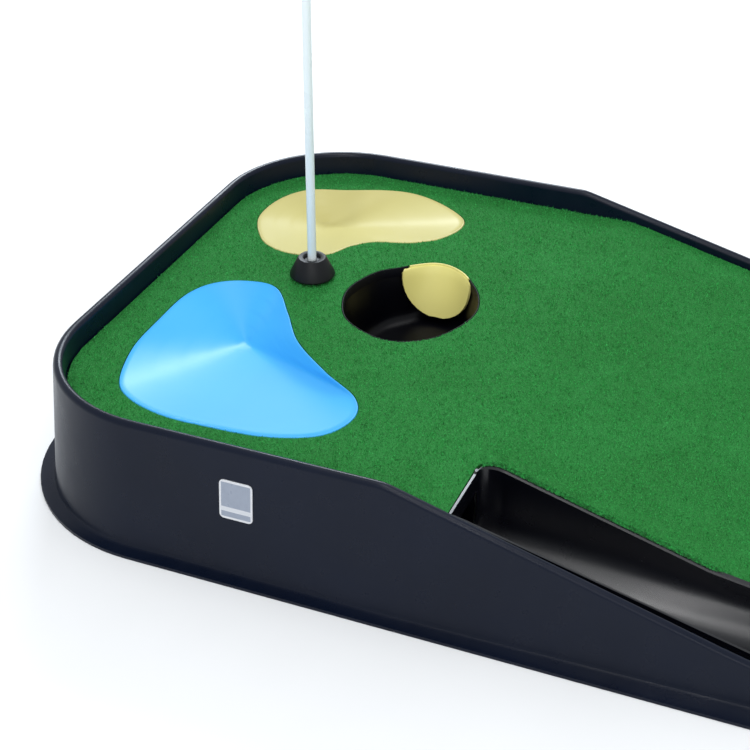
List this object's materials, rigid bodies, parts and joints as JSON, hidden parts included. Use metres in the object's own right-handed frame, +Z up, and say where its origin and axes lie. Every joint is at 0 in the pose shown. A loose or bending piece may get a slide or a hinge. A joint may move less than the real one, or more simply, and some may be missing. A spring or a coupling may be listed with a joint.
{
  "type": "practice putting mat",
  "caption": "Practice putting mat: black tray with water and bunker hazards, cup with ball return, turf ramp and runner, return track and small flag.",
  "frame": {"origin": "middle of the whole object in plan, on the floor it lies on", "axes": "+Y from the player toward the target end and its flag, +X away from the return track, +Z up"},
  "size_m": [0.47, 2.7, 0.4023],
  "materials": {
    "tray_black": "satin moulded black",
    "gloss_black": "glossy black",
    "water_blue": "glossy sky blue",
    "sand_yellow": "glossy cream yellow",
    "scoop_yellow": "glossy yellow",
    "turf_green": "short green pile",
    "backing_foam": "dark grip foam",
    "flag_base_rubber": "dull black rubber",
    "stick_white": "glossy white",
    "pennant_red": "woven red",
    "rivet_grey": "dull grey metal",
    "badge_label": "plain pale label",
    "coupler_black": "dull black"
  },
  "bodies": {
    "mat": {"base_tray": "tray_black", "water_basin": "water_blue", "bunker_basin": "sand_yellow", "cup_well": "gloss_black", "cup_scoop": "scoop_yellow", "return_chute": "gloss_black", "ramp_trough": "gloss_black", "turf": "turf_green", "runner_backing": "backing_foam", "badge": "badge_label", "chute_rivet_1": "rivet_grey", "chute_rivet_2": "rivet_grey", "chute_rivet_3": "rivet_grey", "chute_rivet_4": "rivet_grey"},
    "flag_stand": {"flag_base": "flag_base_rubber"},
    "flagstick": {"flagstick": "stick_white", "flag_cap": "stick_white"},
    "pennant": {"flag_sleeve": "stick_white", "flag_pennant": "pennant_red"},
    "track_1": {"track_section_1": "gloss_black", "track_coupler_1": "coupler_black", "track_coupler_2": "coupler_black"},
    "track_2": {"track_section_2": "gloss_black", "track_coupler_3": "coupler_black"},
    "track_3": {"track_section_3": "gloss_black", "track_end_stop": "coupler_black"}
  },
  "joints": [
    {"name": "flag_base_lift", "type": "slide", "parent": "mat", "child": "flag_stand", "axis": [0, 0, 1], "range_m": [0, 0.06]},
    {"name": "flagstick_lift", "type": "slide", "parent": "flag_stand", "child": "flagstick", "axis": [0, 0, 1], "range_m": [0, 0.06]},
    {"name": "pennant_swivel", "type": "hinge", "parent": "flagstick", "child": "pennant", "pos_m": [0.03, 1.218, 0.36], "axis": [0, 0, 1], "continuous": true},
    {"name": "track_1_pull", "type": "slide", "parent": "mat", "child": "track_1", "axis": [0, -1, 0], "range_m": [0, 0.03]},
    {"name": "track_2_pull", "type": "slide", "parent": "track_1", "child": "track_2", "axis": [0, -1, 0], "range_m": [0, 0.03]},
    {"name": "track_3_pull", "type": "slide", "parent": "track_2", "child": "track_3", "axis": [0, -1, 0], "range_m": [0, 0.03]}
  ]
}
